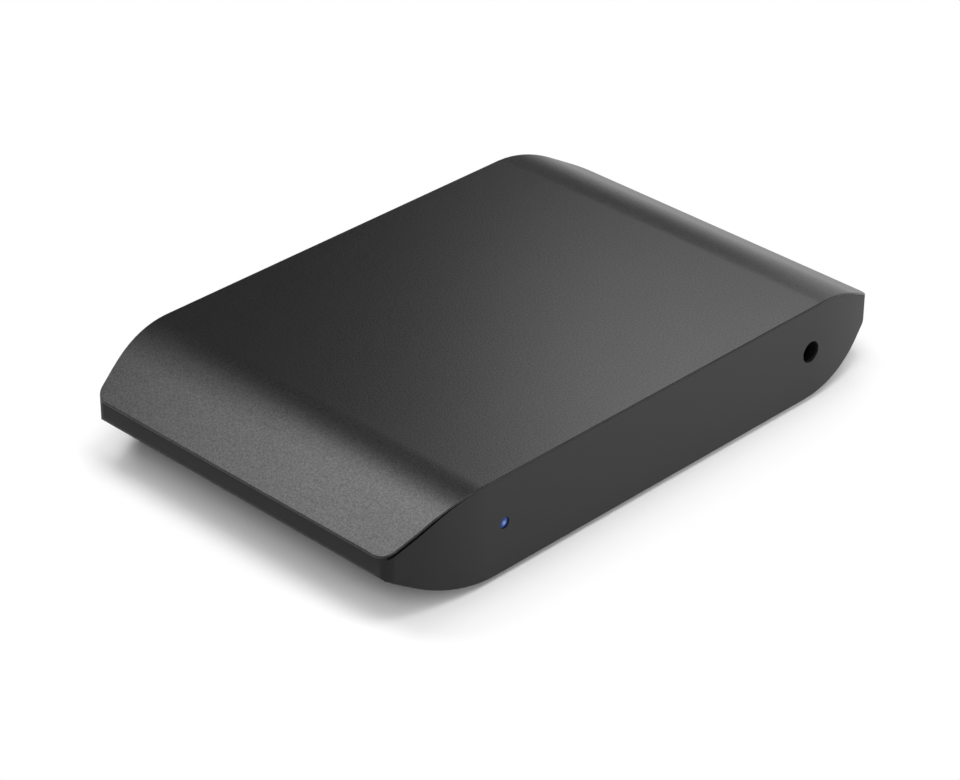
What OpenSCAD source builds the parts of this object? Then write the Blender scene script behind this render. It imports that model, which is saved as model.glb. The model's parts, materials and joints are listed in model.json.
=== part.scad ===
// Video capture box: a flat two-shell case with rolled-down ends.
// It has three sockets at the back, and a sound socket and a light at the front.
// Frame: +X to the right seen from the front, the front face towards -Y and +Z up.
// The origin lies under the middle of the case, on the plane that the feet stand on.

/* [Body] */
// Length from end to end
body_l = 112; // [104:0.5:130]
// Width from the front face to the back face
body_w = 72; // [66:0.5:84]
// Height of the closed case without its feet
body_h = 17.2; // [16:0.1:20]

/* [Rolled ends] */
// Distance from an end at which the top starts to roll down
top_run = 18; // [16:0.5:24]
// Radius of the roll at the top
top_bend_r = 24; // [16:0.5:30]
// Slope of the top at the ends, in degrees
top_slope = 28.8; // [22:0.2:31]
// Distance from an end at which the bottom starts to rise
bottom_run = 20.5; // [17:0.5:26]
// Radius of the rise at the bottom
bottom_bend_r = 32; // [22:0.5:36]
// Slope of the bottom at the ends, in degrees
bottom_slope = 29.8; // [22:0.2:31]
// Distance from an end at which the front and back faces start to draw in
side_run = 18.7; // [14:0.1:22]
// Radius of that bend, seen from above
side_bend_r = 51; // [30:1:60]
// Angle by which the front and back faces draw in at the ends
side_taper = 16.8; // [10:0.2:20]
// Radius of the four upright corners
corner_r = 2.9; // [2:0.1:5]

/* [Shells] */
// Wall of the upper cover
cover_wall = 1.6; // [1.2:0.1:2.4]
// Edge of the cover that shows above the seam
cover_edge = 0.3; // [0.25:0.05:0.8]
// Gap between the cover's edge and the tub's rim
seam_gap = 0.05; // [0.04:0.01:0.3]
// How much tighter the rim rolls down than the cover at the front left, where a tool can lift the cover
slot_roll = 3.4; // [1:0.1:4]
// Wall and floor of the lower tub
tub_wall = 1.8; // [1.4:0.1:2.2]
// Thickness of the tub's rim outside the cover's plate
rim_t = 0.8; // [0.6:0.1:1]
// Thickness of the lip that locates the cover inside the tub
lip_t = 1.2; // [0.8:0.1:1.6]
// Depth of that lip below the cover's plate
lip_depth = 1.2; // [0.6:0.1:1.6]
// Clearance of the cover's plate and lip in the tub
lip_gap = 0.2; // [0.1:0.05:0.4]
// Thickness of the stiffening ribs
rib_t = 1; // [0.8:0.1:1.4]
// Height of the ribs on the tub's floor
floor_rib_h = 1.4; // [0.8:0.1:2]
// Depth of the ribs under the cover
cover_rib_h = 0.9; // [0.5:0.1:1.5]

/* [Feet and screws] */
// Diameter of a rubber foot
foot_d = 8; // [6:0.2:9]
// How far a foot stands out under the case
foot_drop = 0.8; // [0.5:0.1:1.5]
// Depth of the recess that a foot is glued into
foot_recess = 0.9; // [0.6:0.1:1.2]
// Clearance around a foot in its recess
foot_gap = 0.2; // [0.1:0.05:0.4]
// Bevel on a foot's lower edge
foot_bevel = 0.3; // [0.1:0.05:0.5]
// Distance of the case screws from the ends
screw_end = 26; // [25:0.5:27]
// Distance of the case screws from the front and back faces
screw_edge = 10; // [9:0.1:11]
// Shank diameter of the screws
screw_d = 2.2; // [2:0.1:2.5]
// Head diameter of the screws
screw_head_d = 4.2; // [3.8:0.1:4.6]
// Head height of the screws
screw_head_h = 1.4; // [1:0.1:1.6]
// Length of a case screw under its head
case_screw_l = 9; // [7:0.5:10.5]
// Length of a board screw under its head
board_screw_l = 4; // [3:0.2:4.2]
// Radial clearance of a screw in a hole that it passes through
screw_gap = 0.3; // [0.15:0.05:0.4]
// Radial clearance of a screw in the hole that it bites in
bite_gap = 0.05; // [0.02:0.01:0.1]
// Diameter of the tub's screw posts
post_d = 7; // [6.4:0.1:7.4]
// Diameter of the cover's screw bosses
boss_d = 5.5; // [4.8:0.1:6]

/* [Circuit board] */
// Thickness of the board
board_t = 1.6; // [1.2:0.1:1.8]
// Gap between the board and the case
board_gap = 2.4; // [1:0.1:3]
// Distance of the board screws from the ends
board_screw_end = 15; // [14:0.5:16]
// Place of the board screws along Y
board_screw_y = 6; // [0:0.5:10]
// Clearance of a leg or peg in its hole in the board
leg_gap = 0.25; // [0.1:0.05:0.4]

/* [Rear sockets] */
// Width of a video socket's mouth
video_w = 14; // [13.9:0.05:14.2]
// Height of a video socket's mouth
video_h = 4.55; // [4.5:0.05:4.8]
// Cut-off lower corners of a video socket's mouth
video_chamfer = 1.35; // [1:0.05:1.6]
// Depth of a video socket
video_depth = 11.5; // [10:0.1:12]
// Sheet thickness of the socket shells
shell_t = 0.4; // [0.3:0.05:0.5]
// Width of the bus socket's mouth
usb_w = 8.34; // [8.3:0.02:8.6]
// Height of the bus socket's mouth
usb_h = 2.56; // [2.5:0.02:2.7]
// Depth of the bus socket
usb_depth = 7.8; // [7:0.1:9]
// How far the socket mouths lie inside the rear face
mouth_recess = 0.3; // [0.1:0.05:0.6]
// Clearance around a socket in the rear wall
socket_gap = 0.25; // [0.15:0.05:0.4]
// Space between a cover boss and the socket next to it
boss_space = 1.75; // [1:0.05:2]

/* [Front fittings] */
// Height of the sound socket's axis above the underside of the case
jack_height = 8.7; // [8.4:0.1:9.4]
// Distance of the sound socket from the right end
jack_end = 18.8; // [18:0.1:19.2]
// Diameter of the sound socket's bore
jack_bore_d = 3.6; // [3.55:0.05:3.7]
// Diameter of the hole in the front face
jack_hole_d = 3.8; // [3.75:0.05:4.2]
// Width of the sound socket's housing
jack_w = 6.2; // [5.8:0.1:6.4]
// Height of the sound socket's housing
jack_h = 5; // [4.9:0.1:5.4]
// Length of the sound socket's housing
jack_l = 12.5; // [11.5:0.1:13.5]
// Diameter of the nose that locates the sound socket in the wall
jack_nose_d = 5; // [4.7:0.1:5.2]
// Length of that nose
jack_nose_l = 1.4; // [1:0.1:1.6]
// Gap between the housing's shoulder and the wall
jack_gap = 0.5; // [0.3:0.05:0.6]
// Distance of the light from the left end
light_end = 21.8; // [20:0.1:22.2]
// Height of the light's axis above the underside of the case
light_height = 8.75; // [8.4:0.05:9.4]
// Diameter of the light pipe
pipe_d = 1.9; // [1.6:0.1:2.2]
// Clearance of the light pipe in its hole
pipe_gap = 0.05; // [0.03:0.01:0.15]

/* [Cooling] */
// Thickness of the heat spreader
spreader_t = 1.2; // [0.8:0.1:1.6]
// Height of the heat spreader's underside above the board
spreader_lift = 2.2; // [1.9:0.1:2.6]
// Height of the turned-up edges of the heat spreader
spreader_flange = 2.4; // [1.6:0.1:2.8]

/* [Hidden] */
$fn = 64;
// Fine steps for the large bends
bend_fn = 256;
// The bends cross the straight faces at a shallow angle, by this much on the radius
bend_ease = 0.004;
// How far construction shapes reach past what they cut
reach = 1;
// How deep joined features sink into each other
sink = 0.4;

half_l = body_l / 2;
half_w = body_w / 2;
bottom_z = foot_drop;
top_z = bottom_z + body_h;
nest_inset = tub_wall + lip_gap;
plate_inset = rim_t + lip_gap;
inner_y = half_w - tub_wall;
min_corner_r = 0.5;
corner_middle = 45;

// Board levels follow the sound socket's axis, which sits half its height above the board
board_top = bottom_z + jack_height - jack_h / 2;
board_bottom = board_top - board_t;
ceiling_z = top_z - cover_wall;
floor_z = bottom_z + tub_wall;

// How far the tub's inner floor line lets a flat piece reach along X at one height
floor_bend = [half_l - bottom_run, bottom_z + bottom_bend_r];
floor_bend_r = bottom_bend_r - tub_wall;
floor_bend_end_z = floor_bend[1] - floor_bend_r * cos(bottom_slope);
function floor_reach(z) =
    z < floor_bend_end_z
    ? floor_bend[0] + sqrt(pow(floor_bend_r, 2) - pow(floor_bend[1] - z, 2))
    : floor_bend[0] + floor_bend_r * sin(bottom_slope) + (z - floor_bend_end_z) / tan(bottom_slope);
board_half_l = floor_reach(board_bottom) - board_gap;
board_inset = tub_wall + board_gap;

// Screws
screw_x = half_l - screw_end;
screw_y = half_w - screw_edge;
screw_corners = [for (sy = [-1, 1], sx = [-1, 1]) [sx * screw_x, sy * screw_y]];
board_screw_places = [for (sx = [-1, 1]) [sx * (half_l - board_screw_end), board_screw_y]];
head_gap = 0.3;
foot_top = bottom_z + foot_recess;
head_seat_z = foot_top + head_gap + screw_head_h;
drive_d = 1.6;
drive_depth = 0.8;
drive_sides = 6;

// Sockets along the rear wall, spread between the two rear bosses to leave room for the plugs' grips
mouth_y = half_w - mouth_recess;
video_outer_w = video_w + 2 * shell_t;
video_outer_h = video_h + 2 * shell_t;
usb_outer_w = usb_w + 2 * shell_t;
usb_outer_h = usb_h + 2 * shell_t;
row_half_l = screw_x - boss_d / 2 - boss_space;
plug_space = (2 * row_half_l - usb_outer_w - 2 * video_outer_w) / 2;
usb_x = row_half_l - usb_outer_w / 2;
video_out_x = -row_half_l + video_outer_w / 2;
video_in_x = video_out_x + video_outer_w + plug_space;
video_z = board_top + video_outer_h / 2;
usb_z = board_top + usb_outer_h / 2;
video_corner_r = 0.5;
snug = 0.05;
usb_corner_r = usb_h / 2 - snug;
leg_w = 1.2;
leg_shares = [0.45, 0.85];
leg_l = 2.2;
contact_t = 0.15;
contact_w = 0.28;
contact_pitch = 0.5;
tail_l = 1.5;
video_base_l = 3.2;
video_tongue_w = 10.6;
video_tongue_t = 1.1;
video_tongue_set_back = 1.4;
video_tongue_lift = 0.5;
video_pin_count = 19;
usb_base_l = 2.6;
usb_tongue_w = 6.7;
usb_tongue_t = 0.7;
usb_tongue_set_back = 0.8;
usb_pin_count = 12;

// Surge protection lies behind the sockets' contacts
surge_size = [2.5, 1, 0.6];
surge_gap = 1.2;
video_surge_y = mouth_y - video_depth - tail_l - surge_gap;
usb_surge_y = mouth_y - usb_depth - tail_l - surge_gap;

// Sound socket
jack_x = half_l - jack_end;
jack_z = board_top + jack_h / 2;
jack_shoulder_y = -inner_y + jack_gap;
jack_bore_l = 11;
pocket_gap = 0.2;
jack_peg_d = 1;
jack_peg_set = 2.6;
spring_t = 0.3;
spring_w = 1;
spring_proud = 0.08;
spring_steps = [2.4, 5.2, 8];
spring_l = 1.8;

// Status light
light_x = half_l - light_end;
light_z = bottom_z + light_height;
pipe_recess = 0.05;
pipe_dome = 0.15;
pipe_dome_r = (pow(pipe_d / 2, 2) + pow(pipe_dome, 2)) / (2 * pipe_dome);
pipe_flange_d = 3.4;
pipe_flange_t = 0.8;
pipe_leg_set = 1.8;
pipe_leg_y = -inner_y + board_gap + pipe_leg_set;
mirror_angle = 45;
pipe_led_gap = 0.2;
led_size = [1.6, 0.9, 0.6];
led_dome = 0.15;

// Chips: the place of each on the board and its length, width and height
processor_place = [-10, 2];
processor_size = [17, 17, 1.6];
receiver_size = [12, 12, 0.9];
receiver_gap = 2.8;
receiver_x = 6.5;
receiver_place = [receiver_x, video_surge_y - (surge_size[1] + receiver_size[1]) / 2 - receiver_gap];
bridge_place = [20, 8];
bridge_size = [10, 10, 1.2];
memory_end = 28;
memory_rows = [-3, 12];
memory_places = [for (y = memory_rows) [memory_end - half_l, y]];
memory_size = [9, 13, 1];
flash_place = [-10, -13];
flash_size = [5.3, 5.3, 1.8];
codec_place = [28, -14];
codec_size = [5, 5, 0.9];
regulator_places = [[3, -15], [11, -15]];
regulator_size = [4, 4, 1];
lid_share = 0.8;
ball_layer = 0.3;

// Passive parts
coil_places = [[2, -23], [10, -23], [18, -23]];
coil_size = [5.2, 5.2, 3];
coil_cap_d = 4.2;
coil_cap_h = 0.3;
can_places = [[-21, -20.5], [-14.5, -20.5], [-8, -20.5]];
can_d = 5;
can_h = 5.2;
can_base_h = 0.8;
can_base_w = 5.3;
can_groove = 0.3;
crystal_places = [[15, -7], [27, -4]];
crystal_size = [3.2, 2.5, 0.8];
filter_count = 6;
filter_pitch = 1.7;
filter_size = [0.9, 1.6, 0.8];
filter_place = [-14.5, -8.6];

// Heat spreader: a plate over the three warm chips, with the edges along X turned up
spreader_low = [-20.5, -7.5];
spreader_high = [26.5, 18.5];
spreader_z = board_top + spreader_lift;
spacer_places = [[-16, 14.8], [21, -3]];
spacer_d = 4.6;
spacer_nose_d = 3;
spacer_nose_l = 1;
spreader_screw_l = 2.8;
pad_inset = 1;

cover_colour = [0.19, 0.19, 0.2];
tub_colour = [0.16, 0.16, 0.17];
board_colour = [0.05, 0.22, 0.14];
metal_colour = [0.72, 0.72, 0.7];
gold_colour = [0.85, 0.68, 0.3];
black_colour = [0.06, 0.06, 0.06];
rubber_colour = [0.08, 0.08, 0.08];
clear_colour = [0.35, 0.5, 0.9];
pad_colour = [0.5, 0.55, 0.6];
coil_colour = [0.3, 0.3, 0.3];
capacitor_colour = [0.6, 0.5, 0.4];
spreader_colour = [0.75, 0.76, 0.78];

foot_names = [
    "rubber_foot_front_left", "rubber_foot_front_right",
    "rubber_foot_rear_left", "rubber_foot_rear_right"
];

// Outline helpers

// A point at a distance from a centre, with the angle counted from straight up
function along(centre, angle, r) = [centre[0] + r * sin(angle), centre[1] + r * cos(angle)];

// What a bend takes off a sharp corner: the sector between two angles, outside the bend's radius
module bend_waste(centre, r, from, to) {
    far = 2 * r;
    difference() {
        polygon([centre, along(centre, from, far), along(centre, to, far)]);
        translate(centre)
            circle(r = r + bend_ease, $fn = bend_fn);
    }
}

// Everything below a flat line that bends down towards both ends, lowered by an inset
module below_line(level, flat, bend_r, slope, inset) {
    r = bend_r - inset;
    apex = [flat + r * tan(slope / 2), level - inset];
    beyond = body_l + inset;
    end_level = apex[1] - (beyond - apex[0]) * tan(slope);
    difference() {
        polygon([
            [-apex[0], apex[1]], apex, [beyond, end_level],
            [beyond, -beyond], [-beyond, -beyond], [-beyond, end_level]
        ]);
        for (side = [0, 1])
            mirror([side, 0])
                bend_waste([flat, level - bend_r], r, 0, slope);
    }
}

// Front view: everything under the top surface, lowered by an inset
module under_top(inset) {
    below_line(top_z, half_l - top_run, top_bend_r, top_slope, inset);
}

// Front view: everything under the tub's rim, which may roll down tighter than the cover
module under_rim(tighter) {
    below_line(top_z, half_l - top_run, top_bend_r - tighter, top_slope, cover_edge + seam_gap);
}

// Front view: everything above the bottom surface, raised by an inset
module over_bottom(inset) {
    mirror([0, 1])
        below_line(-bottom_z, half_l - bottom_run, bottom_bend_r, bottom_slope, inset);
}

// Half width of the tapered ends, seen from above, at one place along X and one inset
function taper_y(x, inset) =
    let(apex_x = half_l - side_run + (side_bend_r - inset) * tan(side_taper / 2))
    half_w - inset - (x - apex_x) * tan(side_taper);

// Plan outline drawn in by an inset: flat front and back, tapered ends and four round corners
module plan(inset) {
    r = max(corner_r - inset, min_corner_r);
    centre_x = half_l - inset - r;
    centre = [centre_x, taper_y(centre_x, inset + r)];
    difference() {
        intersection() {
            below_line(half_w, half_l - side_run, side_bend_r, side_taper, inset);
            mirror([0, 1])
                below_line(half_w, half_l - side_run, side_bend_r, side_taper, inset);
            square([2 * (half_l - inset), body_l], center = true);
        }
        for (mx = [0, 1], my = [0, 1])
            mirror([mx, 0])
                mirror([0, my])
                    bend_waste(centre, r, side_taper, 90);
    }
}

// A front view drawn through the whole width
module across() {
    rotate([90, 0, 0])
        linear_extrude(height = 2 * body_w, center = true)
            children();
}

// A plan drawn up through the whole height
module upright() {
    translate([0, 0, -reach])
        linear_extrude(height = top_z + 2 * reach)
            children();
}

// A layer under the top surface between two insets, inside the plan at a third inset
module top_layer(from, to, plan_inset) {
    intersection() {
        across()
            difference() {
                under_top(from);
                under_top(to);
            }
        upright()
            plan(plan_inset);
    }
}

// A rectangle about its centre with round corners
module rounded_rect(w, h, r) {
    difference() {
        square([w, h], center = true);
        for (mx = [0, 1], my = [0, 1])
            mirror([mx, 0])
                mirror([0, my])
                    bend_waste([w / 2 - r, h / 2 - r], r, 0, 90);
    }
}

// An outline drawn in the XZ plane and extruded from one place along Y towards the front
module towards_front(y, length) {
    translate([0, y, 0])
        rotate([90, 0, 0])
            linear_extrude(height = length)
                children();
}

// A round bar along Y, from one place towards the back
module bar_y(x, y, z, d, length) {
    translate([x, y, z])
        rotate([-90, 0, 0])
            cylinder(d = d, h = length);
}

// A block that stands on the board, centred on a place
module on_board(place, size, lift = 0) {
    translate([place[0] - size[0] / 2, place[1] - size[1] / 2, board_top + lift])
        cube(size);
}

// A hole drilled upwards from one height
module drill(place, z, d, h) {
    translate([place[0], place[1], z])
        cylinder(d = d, h = h);
}

// Case

// Boss that reaches from the cover down to the board, with ribs where it joins the cover
module cover_boss(place) {
    rib_drop = 3.4;
    rib_spread = 2;
    rib_l = boss_d + 2 * rib_spread;
    drill(place, board_top, boss_d, ceiling_z - board_top + sink);
    for (size = [[rib_l, rib_t], [rib_t, rib_l]])
        translate([place[0] - size[0] / 2, place[1] - size[1] / 2, ceiling_z - rib_drop])
            cube([size[0], size[1], rib_drop + sink]);
}

// Low ribs under the cover between its bosses
module cover_ribs() {
    for (sy = [-1, 1])
        translate([-screw_x, sy * screw_y - rib_t / 2, ceiling_z - cover_rib_h])
            cube([2 * screw_x, rib_t, cover_rib_h + sink]);
    for (sx = [-1, 0, 1])
        translate([sx * screw_x - rib_t / 2, -screw_y, ceiling_z - cover_rib_h])
            cube([rib_t, 2 * screw_y, cover_rib_h + sink]);
}

// Upper cover: thin edge over the tub's rim, plate on its ledge, lip inside it and bosses for the screws
module upper_cover() {
    pilot_d = screw_d + 2 * bite_gap;
    pilot_l = head_seat_z + case_screw_l + reach - board_top;
    color(cover_colour)
        difference() {
            union() {
                top_layer(0, cover_edge, 0);
                top_layer(cover_edge / 2, cover_wall, plate_inset);
                difference() {
                    top_layer(cover_wall - sink, cover_wall + lip_depth, nest_inset);
                    upright()
                        plan(nest_inset + lip_t);
                }
                cover_ribs();
                for (place = screw_corners)
                    cover_boss(place);
            }
            for (place = screw_corners)
                drill(place, board_top - reach, pilot_d, pilot_l + reach);
        }
}

// Post on the tub's floor under the board, tied to the front or back wall by a rib
module case_post(place) {
    side = sign(place[1]);
    wall_run = inner_y - abs(place[1]);
    drill(place, bottom_z + foot_recess + sink, post_d, board_bottom - bottom_z - foot_recess - sink);
    translate([place[0] - rib_t / 2, side > 0 ? place[1] : -inner_y - sink, floor_z - sink])
        cube([rib_t, wall_run + sink, floor_rib_h + sink]);
}

// Ribs that stiffen the tub's floor
module floor_ribs() {
    rib_places = [-screw_x / 2, 0, screw_x / 2];
    for (x = rib_places)
        translate([x - rib_t / 2, -inner_y - sink, floor_z - sink])
            cube([rib_t, 2 * (inner_y + sink), floor_rib_h + sink]);
}

// Foot recess, head pocket and through hole of one case screw
module case_screw_holes(place) {
    drill(place, -reach, foot_d + 2 * foot_gap, foot_top + reach);
    drill(place, foot_top - reach, screw_head_d + 2 * screw_gap, head_seat_z - foot_top + reach);
    drill(place, foot_top, screw_d + 2 * screw_gap, board_bottom - foot_top + reach);
}

// Openings in the rear wall around the three sockets
module socket_openings() {
    wall_cut = tub_wall + 2 * reach;
    for (x = [video_in_x, video_out_x])
        translate([x, 0, video_z])
            towards_front(half_w + reach, wall_cut)
                rounded_rect(video_outer_w + 2 * socket_gap, video_outer_h + 2 * socket_gap, video_corner_r);
    translate([usb_x, 0, usb_z])
        towards_front(half_w + reach, wall_cut)
            rounded_rect(usb_outer_w + 2 * socket_gap, usb_outer_h + 2 * socket_gap, usb_corner_r);
}

// Openings in the front wall for the sound socket and the light
module front_openings() {
    pocket_l = jack_nose_l - jack_gap + pocket_gap;
    bar_y(jack_x, -half_w - reach, jack_z, jack_hole_d, tub_wall + 2 * reach);
    bar_y(jack_x, -inner_y - pocket_l, jack_z, jack_nose_d + 2 * pocket_gap, pocket_l + reach);
    bar_y(-light_x, -half_w - reach, light_z, pipe_d + 2 * pipe_gap, tub_wall + 2 * reach);
}

// Slot along the front left slope, where the rim drops away from the cover's edge up to the corner
module lifting_slot() {
    slot_end = half_l - corner_r * (1 - sin(corner_middle));
    intersection() {
        across()
            difference() {
                under_top(0);
                under_rim(slot_roll);
            }
        translate([-slot_end, -half_w - reach, 0])
            cube([slot_end, half_w, top_z]);
    }
}

// Lower tub: floor, walls up to the seam, posts for the board and openings for the sockets and the light
module lower_tub() {
    color(tub_colour)
        difference() {
            union() {
                difference() {
                    intersection() {
                        across()
                            intersection() {
                                under_rim(0);
                                over_bottom(0);
                            }
                        upright()
                            plan(0);
                    }
                    intersection() {
                        across()
                            over_bottom(tub_wall);
                        upright()
                            plan(tub_wall);
                    }
                    top_layer(-reach, cover_wall + lip_gap, rim_t);
                }
                floor_ribs();
                for (place = screw_corners)
                    case_post(place);
                for (place = board_screw_places)
                    drill(place, floor_z - sink, boss_d, board_bottom - floor_z + sink);
            }
            for (place = screw_corners)
                case_screw_holes(place);
            for (place = board_screw_places)
                drill(place, floor_z, screw_d + 2 * bite_gap, board_bottom - floor_z + reach);
            socket_openings();
            front_openings();
            lifting_slot();
        }
}

// Rubber foot, glued into its recess
module rubber_foot(place) {
    color(rubber_colour)
        union() {
            drill(place, foot_bevel, foot_d, foot_top - foot_bevel);
            translate([place[0], place[1], 0])
                cylinder(d1 = foot_d - 2 * foot_bevel, d2 = foot_d, h = foot_bevel);
        }
}

// Screws

// Screw with a flat round head and a six-sided drive; the shank points up, and the head hangs below the place
module screw(place, z, length) {
    translate([place[0], place[1], z])
        difference() {
            union() {
                cylinder(d = screw_d, h = length);
                translate([0, 0, -screw_head_h])
                    cylinder(d = screw_head_d, h = screw_head_h);
            }
            translate([0, 0, -screw_head_h - reach])
                cylinder(d = drive_d, h = drive_depth + reach, $fn = drive_sides);
        }
}

// The same screw driven from above
module screw_down(place, z, length) {
    translate([0, 0, 2 * z])
        mirror([0, 0, 1])
            screw(place, z, length);
}

module case_screws() {
    color(metal_colour)
        for (place = screw_corners)
            screw(place, head_seat_z, case_screw_l);
}

module board_screws() {
    color(metal_colour)
        for (place = board_screw_places)
            screw_down(place, board_top, board_screw_l);
}

module spreader_screws() {
    color(metal_colour)
        for (place = spacer_places)
            screw_down(place, spreader_z + spreader_t, spreader_screw_l);
}

// Board

// Places of a socket's four legs, given its middle, outer width and depth
function leg_places(x, outer_w, depth) =
    let(first = mouth_y - leg_shares[0] * depth, last = mouth_y - leg_shares[1] * depth)
    [for (side = [-1, 1], y = [first, last]) [x + side * (outer_w - shell_t) / 2, y]];

all_legs = concat(
    leg_places(video_in_x, video_outer_w, video_depth),
    leg_places(video_out_x, video_outer_w, video_depth),
    leg_places(usb_x, usb_outer_w, usb_depth)
);
jack_pegs = [for (y = [jack_peg_set, jack_l - jack_peg_set]) [jack_x, jack_shoulder_y + y]];

// Circuit board, drawn in from the case all round, with its screw, leg and peg holes
module circuit_board() {
    slot = [shell_t + 2 * leg_gap, leg_w + 2 * leg_gap];
    hole_l = board_t + 2 * reach;
    color(board_colour)
        difference() {
            translate([0, 0, board_bottom])
                linear_extrude(height = board_t)
                    intersection() {
                        plan(board_inset);
                        square([2 * board_half_l, body_w], center = true);
                    }
            for (place = concat(screw_corners, board_screw_places))
                drill(place, board_bottom - reach, screw_d + 2 * screw_gap, hole_l);
            for (place = spacer_places)
                drill(place, board_bottom - reach, spacer_nose_d + 2 * snug, hole_l);
            for (place = jack_pegs)
                drill(place, board_bottom - reach, jack_peg_d + 2 * leg_gap, hole_l);
            for (place = all_legs)
                translate([place[0] - slot[0] / 2, place[1] - slot[1] / 2, board_bottom - reach])
                    cube([slot[0], slot[1], hole_l]);
        }
}

// Rear sockets

// Legs of a socket shell, from its side walls down through the board
module socket_legs(x, outer_w, depth, rise) {
    for (place = leg_places(x, outer_w, depth))
        translate([place[0] - shell_t / 2, place[1] - leg_w / 2, board_top - leg_l])
            cube([shell_t, leg_w, leg_l + rise]);
}

// Mouth of a video socket: a flat rectangle with its lower corners cut off, grown by a wall
module video_mouth(grow) {
    w = video_w / 2 + grow;
    h = video_h / 2 + grow;
    cut = video_chamfer + grow * (2 - sqrt(2));
    polygon([[-w, h], [w, h], [w, cut - h], [w - cut, -h], [cut - w, -h], [-w, cut - h]]);
}

module video_shell(x) {
    color(metal_colour)
        union() {
            translate([x, 0, video_z])
                difference() {
                    towards_front(mouth_y, video_depth)
                        video_mouth(shell_t);
                    towards_front(mouth_y + reach, video_depth + 2 * reach)
                        video_mouth(0);
                }
            socket_legs(x, video_outer_w, video_depth, video_chamfer + 2 * shell_t);
        }
}

// Base that fills the back of a video socket, and the tongue that carries its contacts
module video_tongue(x) {
    tongue_l = video_depth - video_base_l - video_tongue_set_back;
    base_y = mouth_y - video_depth + video_base_l;
    tongue_low = video_z + video_tongue_lift - video_tongue_t / 2;
    color(black_colour)
        union() {
            translate([x, 0, video_z])
                towards_front(base_y, video_base_l)
                    video_mouth(-snug);
            translate([x - video_tongue_w / 2, base_y - sink, tongue_low])
                cube([video_tongue_w, tongue_l + sink, video_tongue_t]);
        }
}

// A row of flat contacts along X, with its lowest corner at a height
module contact_row(x, y, z, count, pitch, length) {
    for (i = [0:count - 1])
        translate([x + (i - (count - 1) / 2) * pitch - contact_w / 2, y, z])
            cube([contact_w, length, contact_t]);
}

module video_contacts(x) {
    start_y = mouth_y - video_depth + video_base_l + snug;
    contact_l = video_depth - video_base_l - 2 * video_tongue_set_back;
    upper = ceil(video_pin_count / 2);
    row_pitch = 2 * contact_pitch;
    tongue_top = video_z + video_tongue_lift + video_tongue_t / 2;
    tongue_low = tongue_top - video_tongue_t;
    color(gold_colour) {
        contact_row(x, start_y, tongue_top, upper, row_pitch, contact_l);
        contact_row(x, start_y, tongue_low - contact_t, video_pin_count - upper, row_pitch, contact_l);
        contact_row(x, mouth_y - video_depth - tail_l, board_top, video_pin_count, contact_pitch, tail_l);
    }
}

module usb_shell() {
    color(metal_colour)
        union() {
            translate([usb_x, 0, usb_z])
                difference() {
                    towards_front(mouth_y, usb_depth)
                        rounded_rect(usb_outer_w, usb_outer_h, usb_corner_r + shell_t);
                    towards_front(mouth_y + reach, usb_depth + 2 * reach)
                        rounded_rect(usb_w, usb_h, usb_corner_r);
                }
            socket_legs(usb_x, usb_outer_w, usb_depth, usb_outer_h / 2);
        }
}

module usb_tongue() {
    tongue_l = usb_depth - usb_base_l - usb_tongue_set_back;
    back_y = mouth_y - usb_depth;
    color(black_colour)
        union() {
            translate([usb_x, 0, usb_z])
                towards_front(back_y + usb_base_l, usb_base_l)
                    rounded_rect(usb_w - 2 * snug, usb_h - 2 * snug, usb_corner_r - snug);
            translate([usb_x - usb_tongue_w / 2, back_y + usb_base_l - sink, usb_z - usb_tongue_t / 2])
                cube([usb_tongue_w, tongue_l + sink, usb_tongue_t]);
        }
}

module usb_contacts() {
    start_y = mouth_y - usb_depth + usb_base_l + snug;
    contact_l = usb_depth - usb_base_l - 2 * usb_tongue_set_back;
    tongue_top = usb_z + usb_tongue_t / 2;
    tongue_low = tongue_top - usb_tongue_t;
    color(gold_colour) {
        contact_row(usb_x, start_y, tongue_top, usb_pin_count, contact_pitch, contact_l);
        contact_row(usb_x, start_y, tongue_low - contact_t, usb_pin_count, contact_pitch, contact_l);
        contact_row(usb_x, mouth_y - usb_depth - tail_l, board_top, usb_pin_count, contact_pitch, tail_l);
    }
}

// Front fittings

// Sound socket's housing: a block with a round nose in the wall, a bore and slots for its springs
module audio_jack_housing() {
    nose_y = jack_shoulder_y - jack_nose_l;
    color(black_colour)
        difference() {
            union() {
                translate([jack_x - jack_w / 2, jack_shoulder_y, board_top])
                    cube([jack_w, jack_l, jack_h]);
                bar_y(jack_x, nose_y, jack_z, jack_nose_d, jack_nose_l + sink);
                for (place = jack_pegs)
                    drill(place, board_bottom, jack_peg_d, board_t + sink);
            }
            bar_y(jack_x, nose_y - reach, jack_z, jack_bore_d, jack_nose_l + jack_bore_l + reach);
            for (i = [0:len(spring_steps) - 1])
                spring_slot(i);
        }
}

// Spring contacts lie in slots on alternate sides of the bore
function spring_side(i) = i % 2 == 0 ? 1 : -1;
function spring_x(i) = jack_x + spring_side(i) * (jack_bore_d / 2 - spring_proud + spring_t / 2);

module spring_slot(i) {
    slot_from = jack_bore_d / 2 - spring_proud - snug;
    x = spring_side(i) > 0 ? jack_x + slot_from : jack_x - slot_from - jack_w;
    translate([x, jack_shoulder_y + spring_steps[i] - snug, jack_z - spring_w / 2 - snug])
        cube([jack_w, spring_l + 2 * snug, spring_w + 2 * snug]);
}

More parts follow.
